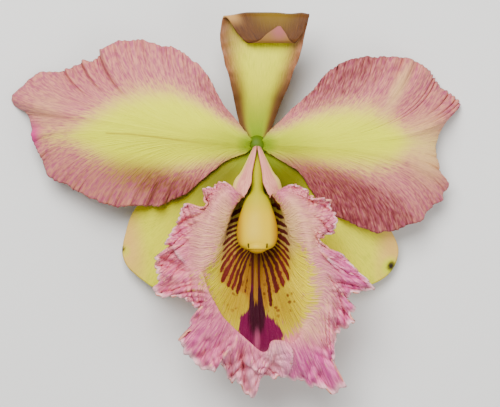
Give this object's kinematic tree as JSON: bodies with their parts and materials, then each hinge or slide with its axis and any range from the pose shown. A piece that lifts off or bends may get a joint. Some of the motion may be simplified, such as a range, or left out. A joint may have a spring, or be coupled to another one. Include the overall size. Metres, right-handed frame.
{
  "type": "cattleya orchid bloom",
  "caption": "Picked cattleya orchid bloom with spreading petals, a ruffled trumpet lip round its column, and a cut stalk; it lies on its back and serves as decoration.",
  "frame": {"origin": "middle of the bounding box's bottom, on the surface that the bloom lies on", "axes": "+X across the two petals, to the viewer's right; +Y from the lip to the dorsal sepal; +Z out of the flower's face, up from the surface"},
  "size_m": [0.1533, 0.1288, 0.0406],
  "materials": {
    "petal_pink": "soft satin skin, pale green-yellow in the middle and pink at the edges",
    "sepal_green": "soft satin skin, pale green-yellow with tan and pink sides",
    "lip_pink": "soft satin skin, pink with a yellow throat, maroon stripes and a purple blotch",
    "column_cream": "waxy, cream and yellow",
    "pollen_yellow": "waxy yellow",
    "stalk_green": "smooth green skin"
  },
  "bodies": {
    "root": {"dorsal_sepal": "sepal_green", "lateral_sepal_left": "sepal_green", "lateral_sepal_right": "sepal_green", "petal_left": "petal_pink", "petal_right": "petal_pink", "lip": "lip_pink", "column": "column_cream", "anther_cap": "column_cream", "pollinium_1": "pollen_yellow", "pollinium_2": "pollen_yellow", "pollinium_3": "pollen_yellow", "pollinium_4": "pollen_yellow", "ovary_stalk": "stalk_green"}
  },
  "joints": []
}
